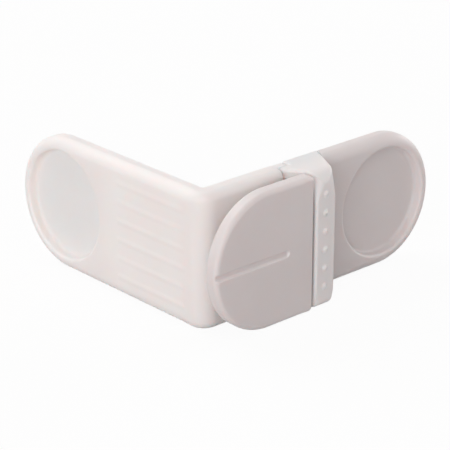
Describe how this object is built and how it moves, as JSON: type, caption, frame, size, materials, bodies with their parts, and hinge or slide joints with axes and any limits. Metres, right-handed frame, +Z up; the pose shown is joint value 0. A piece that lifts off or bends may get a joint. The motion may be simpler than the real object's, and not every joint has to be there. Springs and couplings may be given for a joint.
{
  "type": "cabinet safety lock",
  "caption": "White corner safety lock: an L-shaped strap stuck to a drawer front slides into a latch stuck to the cabinet side, and a finger lever frees it.",
  "frame": {"origin": "centre of the base pad's adhesive face", "axes": "+X along the base, away from the corner; +Y out of the adhesive face, into the cabinet side; +Z up"},
  "size_m": [0.0934, 0.0894, 0.04],
  "materials": {
    "white_plastic": "satin",
    "spring_steel": "brushed",
    "foam_tape": "matte"
  },
  "bodies": {
    "base": {"base_plate": "white_plastic", "latch_cap": "white_plastic", "hinge_pin": "spring_steel", "catch_spring": "spring_steel", "spring_rivets": "spring_steel", "base_pad": "foam_tape"},
    "lever": {"release_lever": "white_plastic"},
    "strap": {"corner_bracket": "white_plastic", "front_pad": "foam_tape"}
  },
  "joints": [
    {"name": "lever_lift", "type": "hinge", "parent": "base", "child": "lever", "pos_m": [-0.0312, -0.0115, 0], "axis": [0, 0, 1], "range_deg": [0, 12], "stiffness_Nm_per_rad": 0.1, "springref_deg": -5.73, "deforming": ["catch_spring"]},
    {"name": "strap_slide", "type": "slide", "parent": "base", "child": "strap", "axis": [-1, 0, 0], "range_m": [0, 0.05], "deforming": ["catch_spring"]}
  ]
}
